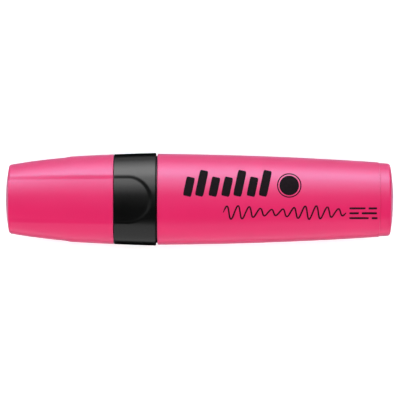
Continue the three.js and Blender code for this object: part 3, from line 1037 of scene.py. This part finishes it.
def rounded_bar(mesh, centre, halves, turn, lift, squareness=8):
    """A bar of ink with rounded corners, or an ellipse where squareness is 2.

    halves are its half-length and half-width, and turn is how far it leans.
    """
    rows = []
    steps = 12  # on each side of the centre
    columns = max(2, round(halves[1] / 0.6))  # on each side, so that it follows the curved face
    for i in range(-steps, steps + 1):
        u = 0.995 * sin(pi / 2 * i / steps)  # short of 1, so that the ends keep some width
        width = halves[1] * (1 - abs(u) ** squareness) ** (1 / squareness)
        row = []
        for j in range(-columns, columns + 1):
            run, off = u * halves[0], j / columns * width
            row.append((centre[0] + run * cos(turn) - off * sin(turn),
                        centre[1] + run * sin(turn) + off * cos(turn)))
        rows.append(row)
    ink_patch(mesh, rows, lift)


def drawn_line(mesh, points, half, lift):
    """A line of ink through the points, narrowing at its two ends."""
    rows = []
    for i, (x, y) in enumerate(points):
        before, after = points[max(0, i - 1)], points[min(len(points) - 1, i + 1)]
        turn = atan2(after[1] - before[1], after[0] - before[0])
        width = half * min(1.0, 0.45 + 0.3 * min(i, len(points) - 1 - i))
        rows.append([(x - v * width * sin(turn), y + v * width * cos(turn))
                     for v in (-1, 0, 1)])
    ink_patch(mesh, rows, lift)


class HIGHLIGHTER_OT_barrel_print(Operator):
    """Print a plain pattern of bars, a disc, a wave and dashes on the barrel's upper face"""

    bl_idname = "highlighter.barrel_print"
    bl_label = "Barrel Print"

    def execute(self, context):
        lift = context.scene.highlighter_sizes.print_height
        mesh = bmesh.new()
        self.bars(mesh, lift)
        self.ringed_disc(mesh, lift)
        self.wave(mesh, lift)
        self.dashes(mesh, lift)
        finish_piece(
            mesh, "barrel_print", "marker", None,
            pad_print_ink(context.scene.highlighter_colours.print_ink),
        )
        return {"FINISHED"}

    @staticmethod
    def bars(mesh, lift):
        start, pitch, foot, half, lean = 54.8, 3.9, 0.9, 1.3, radians(78)
        for k, tall in enumerate((6.0, 8.1, 6.0, 6.0, 8.1, 6.0, 8.1)):
            centre = (start + pitch * (k + 0.5), foot + tall / 2)
            rounded_bar(mesh, centre, (tall / 2, half), lean, lift)

    @staticmethod
    def ringed_disc(mesh, lift):
        """A disc with a thin ring round it; the ring is in two halves that all but meet."""
        centre, disc_radius, ring_radii = (87.5, 4.3), 3.0, (3.4, 3.75)
        gap, steps = 0.002, 30
        rounded_bar(mesh, centre, (disc_radius, disc_radius), 0.0, lift, 2)
        for start in (0.0, pi):
            rows = []
            for k in range(steps + 1):
                turn = start + gap + (pi - 2 * gap) * k / steps
                rows.append([(centre[0] + reach * cos(turn), centre[1] + reach * sin(turn))
                             for reach in ring_radii])
            ink_patch(mesh, rows, lift)

    @staticmethod
    def wave(mesh, lift):
        start, end, middle, waves, half = 67.3, 105.0, -4.0, 11, 0.24
        steps = waves * 14
        points = []
        for k in range(steps + 1):
            t = k / steps
            reach = 1.5 + 0.6 * sin(2 * pi * (1.6 * t + 0.1))
            swing = sin(2 * pi * waves * t)
            points.append((start + (end - start) * t + 0.25 * swing, middle + reach * swing))
        drawn_line(mesh, points, half, lift)

    @staticmethod
    def dashes(mesh, lift):
        start, gap, first_row, pitch, half = 106.0, 0.9, -2.7, 1.5, 0.3
        for row, lengths in enumerate(((5.0, 2.6), (2.9, 4.7), (6.0, 1.8))):
            x, y = start, first_row - pitch * row
            for length in lengths:
                rounded_bar(mesh, (x + length / 2, y), (length / 2, half), 0.0, lift)
                x += length + gap


# ---- The studio ----------------------------------------------------------------------------


DAYLIGHT = (2.1, (0.5, 0.95, 1.0))  # brightness and tint of the tent's back wall
# The bank of softboxes stands in an arc across the pen. Each box spans two angles, measured from
# overhead in degrees, and has its own brightness.
SOFTBOXES = (
    (-110, -35, 1.1),
    (7, 16, 1.6),
    (16, 33, 3.4),
    (33, 55, 6.2),
    (55, 63, 5.0),
    (63, 73, 3.5),
    (73, 84, 2.2),
    (84, 112, 0.8),
)


def hang_panel(name, size, away, turn, brightness, mirrored, tint=(1.0, 1.0, 1.0)):
    """A lit panel this far away from the pen.

    A mirrored one only shows in gloss. Any other only lights what it shines on.
    """
    data = bpy.data.lights.new(name, "AREA")
    data.shape = "RECTANGLE"
    data.size, data.size_y = size
    data.energy = brightness * pi * size[0] * size[1]
    data.color = tint
    data.cycles.use_multiple_importance_sampling = mirrored
    lamp = bpy.data.objects.new(name, data)
    bpy.context.scene.collection.objects.link(lamp)
    lamp.location = Vector((0.0, 0.0, AXIS_HEIGHT)) + Vector(away)
    lamp.rotation_euler = turn
    lamp.visible_camera = False
    lamp.visible_diffuse = not mirrored
    lamp.visible_glossy = mirrored


class HIGHLIGHTER_OT_studio(Operator):
    """Lay the paper, put up the tent and the softboxes and set the camera above the pen"""

    bl_idname = "highlighter.studio"
    bl_label = "Studio"

    def execute(self, context):
        scene = context.scene
        scene.view_settings.view_transform = "Standard"
        self.lay_paper(scene)
        self.paint_room(scene)
        self.put_up_tent(scene.highlighter_studio.tent)
        self.hang_softboxes(scene.highlighter_studio.bank)
        self.set_camera(scene)
        return {"FINISHED"}

    @staticmethod
    def lay_paper(scene):
        half_side = 1.2
        mesh = bmesh.new()
        bmesh.ops.create_grid(mesh, x_segments=40, y_segments=40, size=half_side)
        data = bpy.data.meshes.new("paper_sweep")
        mesh.to_mesh(data)
        mesh.free()
        data.materials.append(paper_sweep(scene.highlighter_colours.paper))
        paper = bpy.data.objects.new("paper_sweep", data)
        scene.collection.objects.link(paper)
        paper.visible_glossy = False

    @staticmethod
    def paint_room(scene):
        """A white room, which is seen past the paper but doesn't light the pen."""
        world = bpy.data.worlds.new("white_room")
        world.use_nodes = True
        background = world.node_tree.nodes["Background"]
        background.inputs["Color"].default_value = (1.0, 1.0, 1.0, 1.0)
        background.inputs["Strength"].default_value = 1.0
        world.cycles_visibility.diffuse = False
        world.cycles_visibility.glossy = False
        scene.world = world

    @staticmethod
    def put_up_tent(brightness):
        """A ceiling and four walls of white cloth; cool daylight falls on the wall at the back."""
        wide, tall = 3.0, 1.5
        hang_panel("tent_ceiling", (wide, wide), (0.0, 0.0, tall), (0.0, 0.0, 0.0), brightness,
                   False)
        for number in range(4):
            turn = number * pi / 2
            away = (wide / 2 * sin(turn), -wide / 2 * cos(turn), tall / 2)
            share, tint = DAYLIGHT if number == 2 else (1.0, (1.0, 1.0, 1.0))
            hang_panel(f"tent_wall_{number}", (wide, tall), away, (pi / 2, 0.0, turn),
                       brightness * share, False, tint)

    @staticmethod
    def hang_softboxes(brightness):
        far, long = 0.55, 0.9
        for number, (start, end, share) in enumerate(SOFTBOXES):
            middle, half = radians(start + end) / 2, radians(end - start) / 2
            hang_panel(f"softbox_{number}", (long, 2 * far * tan(half)),
                       (0.0, far * sin(middle), far * cos(middle)), (-middle, 0.0, 0.0),
                       brightness * share, True)

    @staticmethod
    def set_camera(scene):
        lens, sensor, view_width = 200.0, 36.0, 0.1241
        data = bpy.data.cameras.new("camera")
        data.lens, data.sensor_width = lens, sensor
        data.clip_start, data.clip_end = 0.01, 10.0
        camera = bpy.data.objects.new("camera", data)
        scene.collection.objects.link(camera)
        middle_x = CAP_END + LENGTH * MM / 2
        aim_x, aim_y, roll = middle_x + 0.15 * MM, -0.2 * MM, 0.0015
        camera.location = (aim_x, aim_y, AXIS_HEIGHT + view_width * lens / sensor)
        camera.rotation_euler = (0.0, 0.0, roll)
        scene.camera = camera


# ---- Panel and registration ----------------------------------------------------------------

STEPS = (
    HIGHLIGHTER_OT_cap_shell,
    HIGHLIGHTER_OT_cap_ring,
    HIGHLIGHTER_OT_inner_cap,
    HIGHLIGHTER_OT_barrel,
    HIGHLIGHTER_OT_end_plug,
    HIGHLIGHTER_OT_front_section,
    HIGHLIGHTER_OT_nib,
    HIGHLIGHTER_OT_ink_supply,
    HIGHLIGHTER_OT_barrel_print,
    HIGHLIGHTER_OT_studio,
)
GROUPS = {
    "highlighter_sizes": HighlighterSizes,
    "highlighter_colours": HighlighterColours,
    "highlighter_studio": HighlighterStudio,
}


class HIGHLIGHTER_PT_panel(Panel):
    """Lists the highlighter's sizes, colours and building steps"""

    bl_idname = "HIGHLIGHTER_PT_panel"
    bl_label = "Flat Highlighter"
    bl_space_type = "VIEW_3D"
    bl_region_type = "UI"
    bl_category = "Highlighter"

    def draw(self, context):
        for name, group in GROUPS.items():
            box = self.layout.box()
            for field in group.__annotations__:
                box.prop(getattr(context.scene, name), field)
        for step in STEPS:
            self.layout.operator(step.bl_idname)


def register():
    for group in GROUPS.values():
        bpy.utils.register_class(group)
    for name, group in GROUPS.items():
        setattr(bpy.types.Scene, name, PointerProperty(type=group))
    for step in STEPS:
        bpy.utils.register_class(step)
    bpy.utils.register_class(HIGHLIGHTER_PT_panel)


def unregister():
    bpy.utils.unregister_class(HIGHLIGHTER_PT_panel)
    for step in reversed(STEPS):
        bpy.utils.unregister_class(step)
    for name, group in GROUPS.items():
        delattr(bpy.types.Scene, name)
        bpy.utils.unregister_class(group)


def main():
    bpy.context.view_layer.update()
    register()
    bpy.ops.highlighter.cap_shell()
    bpy.ops.highlighter.cap_ring()
    bpy.ops.highlighter.inner_cap()
    bpy.ops.highlighter.barrel()
    bpy.ops.highlighter.end_plug()
    bpy.ops.highlighter.front_section()
    bpy.ops.highlighter.nib()
    bpy.ops.highlighter.ink_supply()
    bpy.ops.highlighter.barrel_print()
    bpy.ops.highlighter.studio()


if __name__ == "__main__":
    main()
